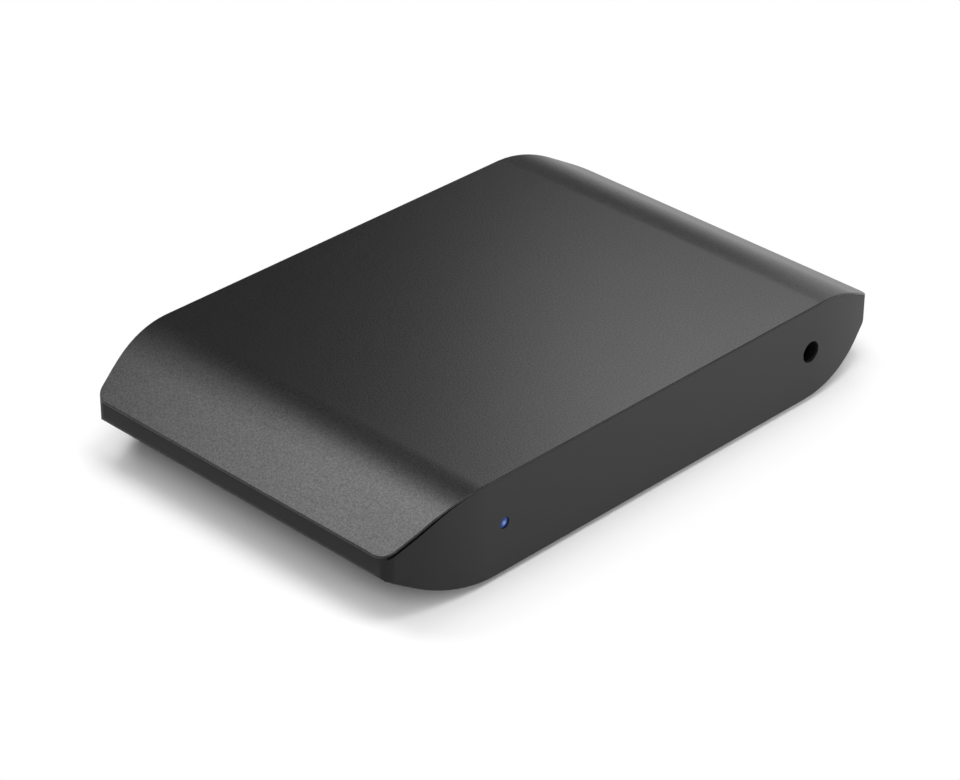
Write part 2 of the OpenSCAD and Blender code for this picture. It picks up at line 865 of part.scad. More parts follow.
// Springs: an upright strip in each slot and a flat tail that reaches the board beside the housing
module audio_jack_springs() {
    color(gold_colour)
        for (i = [0:len(spring_steps) - 1]) {
            side = spring_side(i);
            outer_x = jack_x + side * (jack_w / 2 + spring_t / 2 + snug);
            y = jack_shoulder_y + spring_steps[i];
            low_x = min(spring_x(i), outer_x) - spring_t / 2;
            union() {
                translate([low_x, y, jack_z - spring_w / 2])
                    cube([abs(outer_x - spring_x(i)) + spring_t, spring_l, spring_w]);
                translate([outer_x - spring_t / 2, y, board_top])
                    cube([spring_t, spring_l, jack_z - board_top]);
            }
        }
}

// Light-emitting chip on the board, under the light pipe's leg
module status_led() {
    place = [-light_x, pipe_leg_y];
    lens = [led_size[0] * lid_share, led_size[1] * lid_share, led_dome + sink];
    color("white")
        union() {
            on_board(place, led_size);
            on_board(place, lens, led_size[2] - sink);
        }
}

// Light pipe: a round bar through the front wall, a flange behind it and a leg down to the light.
// A slanted face on top of the leg turns the light forward, and the front end is a shallow dome.
module light_pipe() {
    front_y = -half_w + pipe_recess;
    leg_half = pipe_d / 2;
    leg_low = board_top + led_size[2] + led_dome + pipe_led_gap;
    color(clear_colour)
        difference() {
            union() {
                bar_y(-light_x, front_y, light_z, pipe_d, pipe_leg_y - front_y);
                bar_y(-light_x, -inner_y, light_z, pipe_flange_d, pipe_flange_t);
                translate([-light_x - leg_half, pipe_leg_y - leg_half, leg_low])
                    cube([pipe_d, pipe_d, light_z + leg_half - leg_low]);
            }
            difference() {
                bar_y(-light_x, front_y - reach, light_z, 2 * pipe_d, pipe_dome + reach);
                translate([-light_x, front_y + pipe_dome_r, light_z])
                    sphere(r = pipe_dome_r + bend_ease);
            }
            translate([-light_x, pipe_leg_y, light_z])
                rotate([-mirror_angle, 0, 0])
                    translate([-pipe_d, -2 * pipe_d, pipe_d / 4])
                        cube([2 * pipe_d, 4 * pipe_d, 2 * pipe_d]);
        }
}

// Chips and passive parts

// A chip on a layer of solder, with a slightly smaller moulded body on its base
module chip(place, size) {
    base_h = size[2] * (1 - lid_share) + ball_layer;
    union() {
        on_board(place, [size[0], size[1], base_h]);
        on_board(place, [size[0] - ball_layer, size[1] - ball_layer, size[2]]);
    }
}

// A chip with gull-wing leads along two sides
module leaded_chip(place, size, leads, pitch) {
    lead_l = 0.8;
    lead_w = 0.45;
    lead_t = 0.2;
    union() {
        on_board(place, [size[0], size[1] - 2 * lead_l, size[2]]);
        for (i = [0:leads - 1]) {
            lead_x = place[0] + (i - (leads - 1) / 2) * pitch;
            on_board([lead_x, place[1]], [lead_w, size[1] + lead_l, lead_t]);
        }
    }
}

module video_processor_chip() {
    color(black_colour)
        chip(processor_place, processor_size);
}

module video_receiver_chip() {
    color(black_colour)
        chip(receiver_place, receiver_size);
}

module usb_bridge_chip() {
    color(black_colour)
        chip(bridge_place, bridge_size);
}

module memory_chips() {
    color(black_colour)
        for (place = memory_places)
            chip(place, memory_size);
}

module flash_chip() {
    flash_leads = 4;
    flash_pitch = 1.27;
    color(black_colour)
        leaded_chip(flash_place, flash_size, flash_leads, flash_pitch);
}

module audio_codec_chip() {
    color(black_colour)
        chip(codec_place, codec_size);
}

module voltage_regulators() {
    regulator_leads = 5;
    regulator_pitch = 0.65;
    color(black_colour)
        for (place = regulator_places)
            leaded_chip(place, regulator_size, regulator_leads, regulator_pitch);
}

// Moulded coils with a round ferrite cap
module power_inductors() {
    color(coil_colour)
        for (place = coil_places)
            union() {
                on_board(place, coil_size);
                drill(place, board_top + coil_size[2] - sink, coil_cap_d, coil_cap_h + sink);
            }
}

// Upright capacitor cans with a groove above their square base
module bulk_capacitors() {
    color(metal_colour)
        for (place = can_places)
            union() {
                on_board(place, [can_base_w, can_base_w, can_base_h]);
                drill(place, board_top + can_base_h - sink, can_d - 2 * can_groove, 2 * can_groove + sink);
                drill(place, board_top + can_base_h + can_groove, can_d, can_h - can_base_h - can_groove);
            }
}

module crystals() {
    lid_h = 0.2;
    color(metal_colour)
        for (place = crystal_places)
            union() {
                on_board(place, [crystal_size[0], crystal_size[1], crystal_size[2] - lid_h]);
                on_board(place, [crystal_size[0] * lid_share, crystal_size[1] * lid_share, crystal_size[2]]);
            }
}

// Surge protection next to each rear socket's contacts
module surge_arrays() {
    surge_step = 2 * surge_size[0];
    places = concat(
        [for (x = [video_in_x, video_out_x], side = [-1, 1]) [x + side * surge_step / 2, video_surge_y]],
        [[usb_x, usb_surge_y]]
    );
    color(black_colour)
        for (place = places)
            on_board(place, surge_size);
}

// Row of small capacitors along the front of the processor
module filter_capacitors() {
    color(capacitor_colour)
        for (i = [0:filter_count - 1])
            on_board([filter_place[0] + i * filter_pitch, filter_place[1]], filter_size);
}

// Cooling

// Soft pads between the warm chips and the heat spreader
module thermal_pads() {
    warm = [[processor_place, processor_size], [receiver_place, receiver_size], [bridge_place, bridge_size]];
    color(pad_colour)
        for (chip_row = warm) {
            size = chip_row[1];
            pad = [size[0] - 2 * pad_inset, size[1] - 2 * pad_inset, spreader_lift - size[2]];
            on_board(chip_row[0], pad, size[2]);
        }
}

// Heat spreader plate with turned-up front and back edges and its two screw holes
module heat_spreader() {
    span = spreader_high - spreader_low;
    hole_d = screw_d + 2 * screw_gap;
    color(spreader_colour)
        difference() {
            translate([spreader_low[0], spreader_low[1], spreader_z])
                difference() {
                    cube([span[0], span[1], spreader_t + spreader_flange]);
                    translate([-reach, spreader_t, spreader_t])
                        cube([span[0] + 2 * reach, span[1] - 2 * spreader_t, spreader_flange + reach]);
                }
            for (place = spacer_places)
                drill(place, spreader_z - reach, hole_d, spreader_t + 2 * reach);
        }
}

// Threaded spacers that stand in the board and carry the heat spreader
module spreader_spacers() {
    nose_z = board_top - spacer_nose_l;
    hole_l = spacer_nose_l + spreader_lift + 2 * reach;
    color(metal_colour)
        for (place = spacer_places)
            difference() {
                union() {
                    drill(place, board_top, spacer_d, spreader_lift);
                    drill(place, nose_z, spacer_nose_d, spacer_nose_l + sink);
                }
                drill(place, nose_z - reach, screw_d + 2 * bite_gap, hole_l);
            }
}

upper_cover();
lower_tub();
circuit_board();
video_shell(video_in_x);  // video_in_shell
video_tongue(video_in_x);  // video_in_tongue
video_contacts(video_in_x);  // video_in_contacts
video_shell(video_out_x);  // video_out_shell
video_tongue(video_out_x);  // video_out_tongue
video_contacts(video_out_x);  // video_out_contacts
usb_shell();
usb_tongue();
usb_contacts();
audio_jack_housing();
audio_jack_springs();
status_led();
light_pipe();
video_processor_chip();
video_receiver_chip();
usb_bridge_chip();
memory_chips();
flash_chip();
audio_codec_chip();
voltage_regulators();
power_inductors();
bulk_capacitors();
crystals();
surge_arrays();
filter_capacitors();
thermal_pads();
heat_spreader();
spreader_spacers();
spreader_screws();
board_screws();
case_screws();
for (i = [0:len(foot_names) - 1])
    rubber_foot(screw_corners[i]);
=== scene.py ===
"""Looks of a video capture box: rounded edges, materials, floor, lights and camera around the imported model.

Units are metres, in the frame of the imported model: +X to the right, the front towards -Y, +Z up.
"""

import json
import math
from collections import namedtuple

import bmesh
import bpy
from mathutils import Matrix, Vector


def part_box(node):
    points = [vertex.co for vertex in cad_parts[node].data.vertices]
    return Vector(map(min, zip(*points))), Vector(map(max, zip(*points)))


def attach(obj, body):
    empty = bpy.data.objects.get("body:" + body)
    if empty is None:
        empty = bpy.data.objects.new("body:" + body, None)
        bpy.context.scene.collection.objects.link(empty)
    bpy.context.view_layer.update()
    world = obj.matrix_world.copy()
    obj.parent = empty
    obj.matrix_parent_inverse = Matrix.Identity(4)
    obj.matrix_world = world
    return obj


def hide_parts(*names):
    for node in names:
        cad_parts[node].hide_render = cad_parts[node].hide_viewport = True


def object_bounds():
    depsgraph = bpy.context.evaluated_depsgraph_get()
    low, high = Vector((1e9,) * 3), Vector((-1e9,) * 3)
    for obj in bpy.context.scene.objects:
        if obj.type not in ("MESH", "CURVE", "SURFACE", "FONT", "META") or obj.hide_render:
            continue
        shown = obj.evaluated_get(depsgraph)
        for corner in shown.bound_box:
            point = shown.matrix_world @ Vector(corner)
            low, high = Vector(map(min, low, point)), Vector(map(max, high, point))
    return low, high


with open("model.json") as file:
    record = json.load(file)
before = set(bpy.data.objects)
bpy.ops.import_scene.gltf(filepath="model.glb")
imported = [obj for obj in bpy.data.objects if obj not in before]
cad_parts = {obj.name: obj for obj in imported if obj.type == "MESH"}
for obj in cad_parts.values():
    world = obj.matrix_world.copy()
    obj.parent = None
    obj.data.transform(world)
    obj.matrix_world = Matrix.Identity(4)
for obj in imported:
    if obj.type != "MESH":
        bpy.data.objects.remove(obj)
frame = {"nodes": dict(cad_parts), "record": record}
cad_low, cad_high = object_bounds()

MM = 0.001

# Camera, as fitted to the edges of the photograph
VIEW_AZIMUTH = math.radians(-45.57)
VIEW_ELEVATION = math.radians(31.03)
VIEW_ROLL = math.radians(0.27)
VIEW_DISTANCE = 534.76 * MM
VIEW_TARGET = Vector((-8.68, -5.745, 8.99)) * MM
LENS_MM = 125.68
SENSOR_MM = 36.0
NEAR_CLIP = 0.01
FAR_CLIP = 50.0

# Joining and rounding of the mouldings
WELD = 0.0005 * MM
FLAT_ANGLE = math.radians(0.3)
SHARP_ANGLE = math.radians(35)
UPRIGHT = 0.1
LEVEL = 0.8
COVER_EDGE_R = 0.12 * MM
COVER_LIP_R = 0.03 * MM
TUB_EDGE_R = 0.25 * MM
TUB_END_R = 1.8 * MM
END_FACETS = 7
STEEP = 0.45
RECESS_EDGE_R = 0.15 * MM
OPENING_EDGE_R = 0.15 * MM
HOLE_EDGE_R = 0.03 * MM
SHEET_EDGE_R = 0.09 * MM
FOOT_EDGE_R = 0.1 * MM
ROUND_STEPS = 4
ROUND_PROFILE = 0.5
NEAR_MARGIN = 1.0 * MM
SOCKET_SHELLS = ("video_in_shell", "video_out_shell", "usb_shell")

# Lights: softboxes that look at the middle of the object, with angles in degrees and lengths in metres
Softbox = namedtuple("Softbox", "name azimuth elevation distance width height watts")
AIM = Vector((0.0, 0.0, 9.0)) * MM
SOFTBOXES = (
    Softbox("left_softbox", 300, 40, 0.60, 0.35, 0.35, 1.10),
    Softbox("end_softbox", 262, 47, 0.60, 0.35, 0.35, 0.55),
    Softbox("front_softbox", 10, 72, 0.50, 0.25, 0.25, 0.65),
    Softbox("top_softbox", 60, 86, 0.38, 0.22, 0.22, 0.30),
    Softbox("back_softbox", 121, 40, 0.35, 0.12, 0.12, 0.158),
    Softbox("band_strip", 107, 18, 0.35, 0.10, 0.14, 0.055),
    Softbox("slope_softbox", 212, 52, 0.35, 0.10, 0.12, 0.26),
    Softbox("slope_fill", 188, 62, 0.35, 0.10, 0.10, 0.25),
)
# Low strips in front, which light the tub and the floor but not the cover
LOW_STRIPS = (
    Softbox("near_strip", 20, 6, 0.25, 0.12, 0.03, 0.32),
    Softbox("right_strip", 46, 6, 0.25, 0.12, 0.03, 0.42),
)

# Light for the underside, which the floor does not block
UNDER_LIGHT = Softbox("under_softbox", 0, -90, 0.40, 0.30, 0.30, 0.40)

# Surroundings: pale walls round the object that darken upwards to the sine of an elevation
WALL_PALE = 0.35
WALL_TOP = math.sin(math.radians(20))
CEILING_DARK = 0.01

# Floor: shaded near the object and pure white to the camera away from it, by distance from the shifted box
FLOOR_SIZE = 12.0
FLOOR_WHITE = 0.93
SHADE_NEAR = 0.5 * MM
SHADE_FAR = 11.0 * MM
SHADE_SHIFT = Vector((-2.5, -0.5, 0.0)) * MM
WHITE = (1.0, 1.0, 1.0, 1.0)

# Grain that all plastics, rubbers and metals share
NOISE_LOW = 0.3
NOISE_HIGH = 0.7
WANDER_GRAINS = 8
MOULDED_WANDER = 0.04
PLATED_WANDER = 0.06
ROLLING_LINE = 0.12 * MM
ROLLING_DEPTH = 0.002 * MM
SMUDGE = 2.5 * MM
ROLLED_ALONG_Y = (1.0, 0.08, 1.0)
ROLLED_ALONG_Z = (1.0, 1.0, 0.08)
ROLLED_ALONG_X = (0.05, 1.0, 1.0)
TURNED_ABOUT_Z = (1.0, 1.0, 0.3)

# Lens of the light: its face, and the radii and colours of its glow
LENS_FACE = 0.5 * MM
GLOW_CORE = 0.05 * MM
GLOW_RIM = 0.7 * MM
GLOW_FALL = 2.0
SQUARE_ROOT = 0.5
GLOW_PALE = (0.20, 0.36, 0.70)
GLOW_DEEP = (0.004, 0.018, 0.10)


class Finish:
    """A material in the making: its node tree and main shader, with short ways to add detail."""

    def __init__(self, name, colour, rough, metallic=0.0, specular=0.5):
        self.material = bpy.data.materials.new(name)
        self.material.use_nodes = True
        self.tree = self.material.node_tree
        self.shader = self.tree.nodes["Principled BSDF"]
        self.place = self.tree.nodes.new("ShaderNodeTexCoord").outputs["Object"]
        self.set("Base Color", (*colour, 1.0))
        self.set("Roughness", rough)
        self.set("Metallic", metallic)
        self.set("Specular IOR Level", specular)

    def set(self, socket, value):
        self.shader.inputs[socket].default_value = value

    def link(self, output, socket):
        self.tree.links.new(output, self.shader.inputs[socket])

    def stretched(self, stretch):
        """The place on the object with each axis shrunk by its own factor, for grain that runs one way."""
        mapping = self.tree.nodes.new("ShaderNodeMapping")
        mapping.inputs["Scale"].default_value = stretch
        self.tree.links.new(self.place, mapping.inputs["Vector"])
        return mapping.outputs["Vector"]

    def noise(self, size, detail=2.0, place=None):
        """Soft blotches about as wide as size, from 0 to 1."""
        node = self.tree.nodes.new("ShaderNodeTexNoise")
        node.inputs["Scale"].default_value = 1.0 / size
        node.inputs["Detail"].default_value = detail
        self.tree.links.new(place or self.place, node.inputs["Vector"])
        return node.outputs["Fac"]

    def cells(self, size):
        """Random cells about as wide as size: 0 in the middle of each, rising to its border."""
        node = self.tree.nodes.new("ShaderNodeTexVoronoi")
        node.inputs["Scale"].default_value = 1.0 / size
        self.tree.links.new(self.place, node.inputs["Vector"])
        return node.outputs["Distance"]

    def spread(self, socket, low, high, from_low=NOISE_LOW, from_high=NOISE_HIGH):
        """A socket's usual range spread from low to high."""
        node = self.tree.nodes.new("ShaderNodeMapRange")
        node.inputs["From Min"].default_value = from_low
        node.inputs["From Max"].default_value = from_high
        node.inputs["To Min"].default_value = low
        node.inputs["To Max"].default_value = high
        self.tree.links.new(socket, node.inputs["Value"])
        return node.outputs["Result"]

    def combine(self, operation, first, second):
        """Two sockets, or a socket and a number, joined by a sum, product or the like."""
        node = self.tree.nodes.new("ShaderNodeMath")
        node.operation = operation
        self.tree.links.new(first, node.inputs[0])
        if isinstance(second, (int, float)):
            node.inputs[1].default_value = second
        else:
            self.tree.links.new(second, node.inputs[1])
        return node.outputs["Value"]

    def vector(self, operation, first, second=None):
        """A vector socket changed by an operation, with fixed numbers where it takes a second vector."""
        node = self.tree.nodes.new("ShaderNodeVectorMath")
        node.operation = operation
        self.tree.links.new(first, node.inputs[0])
        if second is not None:
            node.inputs[1].default_value = second
        return node.outputs["Vector"]

    def length(self, vector):
        node = self.tree.nodes.new("ShaderNodeVectorMath")
        node.operation = "LENGTH"
        self.tree.links.new(vector, node.inputs[0])
        return node.outputs["Value"]

    def blend(self, factor, first, second):
        """A colour between two colours, by a socket from 0 to 1."""
        node = self.tree.nodes.new("ShaderNodeMix")
        node.data_type = "RGBA"
        colour_inputs = [socket for socket in node.inputs if socket.type == "RGBA"]
        colour_inputs[0].default_value = (*first, 1.0)
        colour_inputs[1].default_value = (*second, 1.0)
        self.tree.links.new(factor, node.inputs["Factor"])
        return [socket for socket in node.outputs if socket.type == "RGBA"][0]

    def tint(self, socket, dark, light):
        """Base colour that wanders between two colours."""
        self.link(self.blend(self.spread(socket, 0.0, 1.0), dark, light), "Base Color")

    def vary_roughness(self, socket, low, high):
        self.link(self.spread(socket, low, high), "Roughness")

    def relief(self, height, depth):
        """Surface relief of a depth in metres."""
        bump = self.tree.nodes.new("ShaderNodeBump")
        bump.inputs["Distance"].default_value = depth
        self.tree.links.new(height, bump.inputs["Height"])
        self.link(bump.outputs["Normal"], "Normal")


def grey(level):
    return (level, level, level)


def cover_plastic():
    """Moulded plastic with a spark-eroded grain."""
    finish = Finish("cover_plastic", colour=grey(0.008), rough=0.34)
    sparks = finish.noise(size=0.30 * MM, detail=3.0)
    finish.tint(sparks, dark=grey(0.005), light=grey(0.013))
    finish.link(finish.spread(sparks, low=0.36, high=0.64), "Specular IOR Level")
    finish.vary_roughness(finish.noise(size=9 * MM), low=0.335, high=0.345)
    finish.relief(sparks, depth=0.02 * MM)
    return finish.material


def tub_plastic():
    """The same plastic with a finer, satin grain."""
    finish = Finish("tub_plastic", colour=grey(0.006), rough=0.6, specular=0.24)
    fine = finish.noise(size=0.16 * MM, detail=2.0)
    finish.tint(fine, dark=grey(0.0045), light=grey(0.0075))
    finish.vary_roughness(finish.noise(size=9 * MM), low=0.595, high=0.605)
    finish.relief(fine, depth=0.003 * MM)
    return finish.material


def moulded(name, dark, light, rough, grain, depth, specular=0.5):
    """Plain moulded plastic, rubber or ceramic: fine grain in colour, roughness and relief."""
    finish = Finish(name, dark, rough, specular=specular)
    fine = finish.noise(grain, detail=3.0)
    finish.tint(fine, dark, light)
    finish.vary_roughness(finish.noise(WANDER_GRAINS * grain), rough - MOULDED_WANDER, rough + MOULDED_WANDER)
    finish.relief(fine, depth)
    return finish.material


def plated(name, dark, light, rough, run=ROLLED_ALONG_Y):
    """Plated sheet metal: rolling lines along one axis, faint smudges and a fine relief."""
    finish = Finish(name, light, rough, metallic=1.0)
    lines = finish.noise(ROLLING_LINE, detail=3.0, place=finish.stretched(run))
    smudges = finish.noise(SMUDGE, detail=3.0)
    finish.tint(smudges, dark, light)
    finish.vary_roughness(lines, rough - PLATED_WANDER, rough + PLATED_WANDER)
    finish.relief(lines, ROLLING_DEPTH)
    return finish.material


def board_mask():
    """Green solder mask with the copper tracks showing faintly through."""
    finish = Finish("board_mask", colour=(0.006, 0.035, 0.018), rough=0.3)
    tracks = finish.cells(size=2.2 * MM)
    finish.tint(tracks, dark=(0.004, 0.026, 0.013), light=(0.012, 0.055, 0.028))
    finish.vary_roughness(finish.noise(size=3 * MM), low=0.27, high=0.34)
    finish.relief(tracks, depth=0.02 * MM)
    return finish.material


def lens_axis():
    """Place of the light pipe's axis along X and Z, from the face of its lens."""
    low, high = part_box("light_pipe")
    face = [v.co for v in frame["nodes"]["light_pipe"].data.vertices if v.co.y < low.y + LENS_FACE]
    xs = [co.x for co in face]
    zs = [co.z for co in face]
    return (min(xs) + max(xs)) / 2, (min(zs) + max(zs)) / 2


def light_clear():
    """Clear lens lit from behind: pale blue in the middle and deep blue at the rim."""
    finish = Finish("light_clear", colour=(0.003, 0.010, 0.06), rough=0.12, specular=0.25)
    axis_x, axis_z = lens_axis()
    split = finish.tree.nodes.new("ShaderNodeSeparateXYZ")
    finish.tree.links.new(finish.place, split.inputs["Vector"])
    off_x = finish.combine("SUBTRACT", split.outputs["X"], axis_x)
    off_z = finish.combine("SUBTRACT", split.outputs["Z"], axis_z)
    square_x = finish.combine("MULTIPLY", off_x, off_x)
    square_z = finish.combine("MULTIPLY", off_z, off_z)
    radius = finish.combine("POWER", finish.combine("ADD", square_x, square_z), SQUARE_ROOT)
    middle = finish.combine("POWER", finish.spread(radius, 1.0, 0.0, GLOW_CORE, GLOW_RIM), GLOW_FALL)
    clouds = finish.spread(finish.noise(size=0.25 * MM), low=0.85, high=1.15)
    cloudy = finish.combine("MULTIPLY", middle, clouds)
    finish.link(finish.blend(cloudy, GLOW_DEEP, GLOW_PALE), "Emission Color")
    finish.set("Emission Strength", 1.0)
    return finish.material


def led_white():
    """Milky lamp body."""
    finish = Finish("led_white", colour=(0.75, 0.75, 0.7), rough=0.35)
    milk = finish.noise(size=0.3 * MM)
    finish.tint(milk, dark=(0.66, 0.67, 0.64), light=(0.8, 0.8, 0.76))
    finish.relief(milk, depth=0.004 * MM)
    return finish.material


MATERIALS = {
    "cover_plastic": cover_plastic(),
    "tub_plastic": tub_plastic(),
    "board_mask": board_mask(),
    "socket_metal": plated("socket_metal", dark=(0.50, 0.49, 0.47), light=(0.63, 0.62, 0.60), rough=0.3),
    "socket_black": moulded("socket_black", dark=grey(0.005), light=grey(0.009), rough=0.5,
                            grain=0.15 * MM, depth=0.004 * MM, specular=0.3),
    "contact_gold": plated("contact_gold", dark=(0.68, 0.46, 0.16), light=(0.83, 0.60, 0.25), rough=0.25),
    "led_white": led_white(),
    "light_clear": light_clear(),
    "chip_black": moulded("chip_black", dark=grey(0.013), light=grey(0.022), rough=0.55,
                          grain=0.12 * MM, depth=0.006 * MM),
    "coil_grey": moulded("coil_grey", dark=grey(0.05), light=grey(0.09), rough=0.6,
                         grain=0.2 * MM, depth=0.012 * MM),
    "can_aluminium": plated("can_aluminium", dark=grey(0.68), light=grey(0.8), rough=0.25,
                            run=ROLLED_ALONG_Z),
    "capacitor_tan": moulded("capacitor_tan", dark=(0.26, 0.18, 0.1), light=(0.38, 0.28, 0.18), rough=0.4,
                             grain=0.1 * MM, depth=0.003 * MM),
    "pad_grey": moulded("pad_grey", dark=(0.28, 0.31, 0.35), light=(0.36, 0.39, 0.43), rough=0.7,
                        grain=0.4 * MM, depth=0.02 * MM),
    "spreader_aluminium": plated("spreader_aluminium", dark=grey(0.6), light=grey(0.74), rough=0.33,
                                 run=ROLLED_ALONG_X),
    "screw_steel": plated("screw_steel", dark=grey(0.4), light=grey(0.56), rough=0.34, run=TURNED_ABOUT_Z),
    "foot_rubber": moulded("foot_rubber", dark=grey(0.010), light=grey(0.018), rough=0.75,
                           grain=0.25 * MM, depth=0.015 * MM, specular=0.3),
}


def node_slot(node):
    """The record's material slot of a CAD node."""
    return next(row["material_slot"] for row in frame["record"]["subparts"] if row["node"] == node)


def welded(node):
    """A CAD node's mesh with its faces joined and flat neighbours merged."""
    bm = bmesh.new()
    bm.from_mesh(frame["nodes"][node].data)
    bmesh.ops.remove_doubles(bm, verts=bm.verts, dist=WELD)
    bmesh.ops.dissolve_limit(bm, angle_limit=FLAT_ANGLE, verts=bm.verts, edges=bm.edges)
    bm.normal_update()
    return bm


def sharp_edges(bm, rule):
    """Convex sharp edges that a rule picks by the normals of their two faces and their middle."""
    found = []
    for edge in bm.edges:
        if len(edge.link_faces) != 2 or not edge.is_convex or edge.calc_face_angle() < SHARP_ANGLE:
            continue
        first, second = (face.normal for face in edge.link_faces)
        middle = (edge.verts[0].co + edge.verts[1].co) / 2
        if rule(first, second, middle) or rule(second, first, middle):
            found.append(edge)
    return found


def round_off(bm, edges, radius):
    """Rounds edges off by a radius."""
    bmesh.ops.bevel(bm, geom=edges, offset=radius, offset_type="OFFSET", segments=ROUND_STEPS,
                    profile=ROUND_PROFILE, affect="EDGES", clamp_overlap=False)
    bm.normal_update()


def stand_in(bm, name, node):
    """A piece made of a mesh, which stands for a CAD node and rides where it does."""
    bmesh.ops.remove_doubles(bm, verts=bm.verts, dist=WELD)
    mesh = bpy.data.meshes.new(name)
    bm.to_mesh(mesh)
    bm.free()
    if "custom_normal" in mesh.attributes:
        mesh.attributes.remove(mesh.attributes["custom_normal"])
    mesh.shade_smooth()
    mesh.set_sharp_from_angle(angle=SHARP_ANGLE)
    slot = node_slot(node)
    mesh.materials.clear()
    mesh.materials.append(MATERIALS[slot])
    piece = bpy.data.objects.new(name, mesh)
    bpy.context.scene.collection.objects.link(piece)
    weighted = piece.modifiers.new("flat_faces_stay_flat", "WEIGHTED_NORMAL")
    weighted.keep_sharp = True
    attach(piece, "root")
    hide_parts(node)
    return piece


def is_upright(normal):
    return abs(normal.z) < UPRIGHT


def make_cover():
    """The cover with its outline rounded off above and its lip below."""
    bm = welded("upper_cover")

    def outline(first, second, middle):
        return first.z > LEVEL and is_upright(second)

    sides = {face for edge in sharp_edges(bm, outline) for face in edge.link_faces if is_upright(face.normal)}
    below = sharp_edges(bm, lambda first, second, middle: first.z < -LEVEL and is_upright(second))
    round_off(bm, [edge for edge in below if sides.intersection(edge.link_faces)], COVER_LIP_R)
    round_off(bm, sharp_edges(bm, outline), COVER_EDGE_R)
    stand_in(bm, "cover_moulding", "upper_cover")


def foot_nodes():
    return [node for node in frame["nodes"] if node.startswith("rubber_foot")]


def near_any(nodes, margin, axes):
    """A test of whether a point lies within a margin of the box of one of some nodes, along some axes."""
    boxes = [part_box(node) for node in nodes]

    def test(point):
        return any(all(low[axis] - margin < point[axis] < high[axis] + margin for axis in axes)
                   for low, high in boxes)

    return test


def round_ends(bm):
    """Rounds the tub's lower edge at each end, planed off in facets that touch the rounding in turn."""
    reach = max(vert.co.x for vert in bm.verts)
    for side in (-1, 1):
        rising = [face for face in bm.faces if face.normal.z < -LEVEL and side * face.normal.x > STEEP]
        slope = max(rising, key=lambda face: face.calc_area())
        turn = math.acos(side * slope.normal.x)
        axis = Vector((side * (reach - TUB_END_R), 0.0, 0.0))
        axis.z = (slope.normal.dot(slope.verts[0].co) - TUB_END_R - slope.normal.x * axis.x) / slope.normal.z
        for facet in range(1, END_FACETS + 1):
            angle = turn * facet / (END_FACETS + 1)
            outward = Vector((side * math.cos(angle), 0.0, -math.sin(angle)))
            touch = axis + outward * TUB_END_R
            cut = bmesh.ops.bisect_plane(bm, geom=bm.verts[:] + bm.edges[:] + bm.faces[:], dist=WELD,
                                         plane_co=touch, plane_no=outward, clear_outer=True)
            rim = [item for item in cut["geom_cut"] if isinstance(item, bmesh.types.BMEdge)]
            bmesh.ops.edgeloop_fill(bm, edges=rim)
    bmesh.ops.recalc_face_normals(bm, faces=bm.faces)
    bm.normal_update()


def make_tub():
    """The tub with its ends, lower outline, foot recesses, socket openings and front holes rounded off."""
    bm = welded("lower_tub")
    near_foot = near_any(foot_nodes(), NEAR_MARGIN, (0, 1))
    near_socket = near_any(SOCKET_SHELLS, NEAR_MARGIN, (0, 2))
    near_fitting = near_any(("light_pipe", "audio_jack_housing"), 0.0, (0, 2))

    def recess(first, second, middle):
        return first.z < -LEVEL and is_upright(second) and near_foot(middle)

    def opening(first, second, middle):
        return first.y > LEVEL and abs(second.y) < UPRIGHT and near_socket(middle)

    def hole(first, second, middle):
        return first.y < -LEVEL and abs(second.y) < UPRIGHT and near_fitting(middle)

    def outline(first, second, middle):
        return first.z < -LEVEL and is_upright(second) and not (
            recess(first, second, middle) or opening(second, first, middle) or hole(second, first, middle))

    round_ends(bm)
    round_off(bm, sharp_edges(bm, recess), RECESS_EDGE_R)
    round_off(bm, sharp_edges(bm, opening), OPENING_EDGE_R)
    round_off(bm, sharp_edges(bm, hole), HOLE_EDGE_R)
    round_off(bm, sharp_edges(bm, outline), TUB_EDGE_R)
    return stand_in(bm, "tub_moulding", "lower_tub")


def make_socket_shell(node):
    """A socket shell with the lip of its mouth rolled."""
    bm = welded(node)
    mouth = sharp_edges(bm, lambda first, second, middle: first.y > LEVEL and abs(second.y) < UPRIGHT)
    round_off(bm, mouth, SHEET_EDGE_R)
    stand_in(bm, node.replace("shell", "lip"), node)


def make_foot(node):
    """A rubber foot with a soft lower edge."""
    bm = welded(node)
    lower = sharp_edges(bm, lambda first, second, middle: first.z < -UPRIGHT)
    round_off(bm, lower, FOOT_EDGE_R)
    stand_in(bm, node.replace("rubber_foot", "soft_foot"), node)


def dress_nodes():
    """Gives every CAD node the material of its slot."""
    for name, node in frame["nodes"].items():
        node.data.materials.clear()
        node.data.materials.append(MATERIALS[node_slot(name)])


def camera_axes(azimuth, elevation, roll):
    """Right, up and back of a camera that looks at the object from an azimuth and an elevation."""
    back = Vector((math.sin(azimuth) * math.cos(elevation),
                   -math.cos(azimuth) * math.cos(elevation),
                   math.sin(elevation)))
    level_right = Vector((math.cos(azimuth), math.sin(azimuth), 0.0))
    level_up = back.cross(level_right)
    right = math.cos(roll) * level_right + math.sin(roll) * level_up
    up = math.cos(roll) * level_up - math.sin(roll) * level_right
    return right, up, back


def placed(axes, point):
    """The matrix of a thing at a point, turned to three axes."""
    return Matrix.Translation(point) @ Matrix(axes).transposed().to_4x4()


